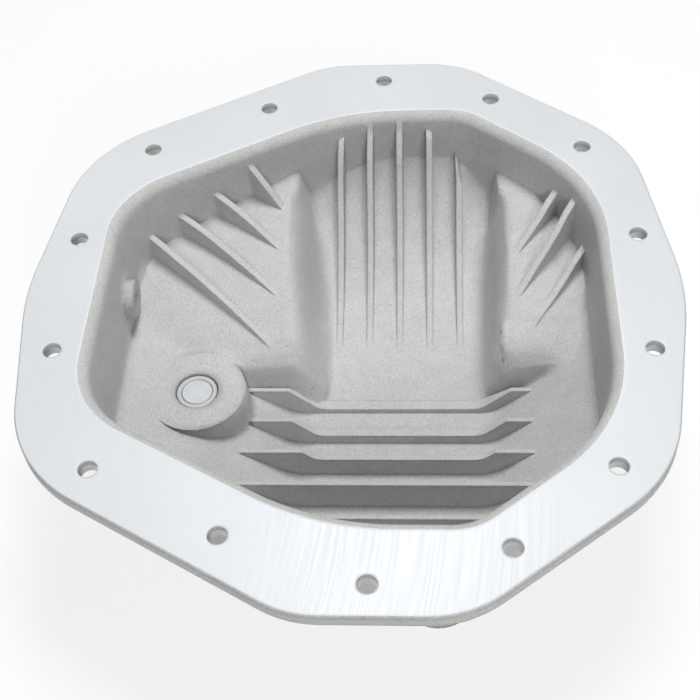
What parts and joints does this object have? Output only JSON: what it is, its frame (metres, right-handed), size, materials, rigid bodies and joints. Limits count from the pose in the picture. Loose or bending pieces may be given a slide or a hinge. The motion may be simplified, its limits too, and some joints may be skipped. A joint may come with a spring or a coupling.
{
  "type": "differential cover",
  "caption": "Cast aluminium differential cover: a deep finned bowl with a machined bolting flange, a magnetic fill plug and drain plug.",
  "frame": {"origin": "middle of the machined flange face, halfway between the four side bolts", "axes": "+Z out of the flange face towards the axle, +Y up the cover as bolted on, +X to the right looking into the bowl"},
  "size_m": [0.3431, 0.3772, 0.112],
  "materials": {
    "cast_aluminium": "fine sand-cast grain, satin machined flange face",
    "plated_steel": "turned and plated",
    "magnet": "nickel plated, ground end",
    "seal_washer": "plain soft aluminium ring"
  },
  "bodies": {
    "root": {"cover_casting": "cast_aluminium", "fill_plug": "plated_steel", "fill_plug_magnet": "magnet", "fill_plug_seal": "seal_washer", "drain_plug": "plated_steel", "drain_plug_magnet": "magnet", "drain_plug_seal": "seal_washer", "sensor_port_plug": "plated_steel"}
  },
  "joints": []
}
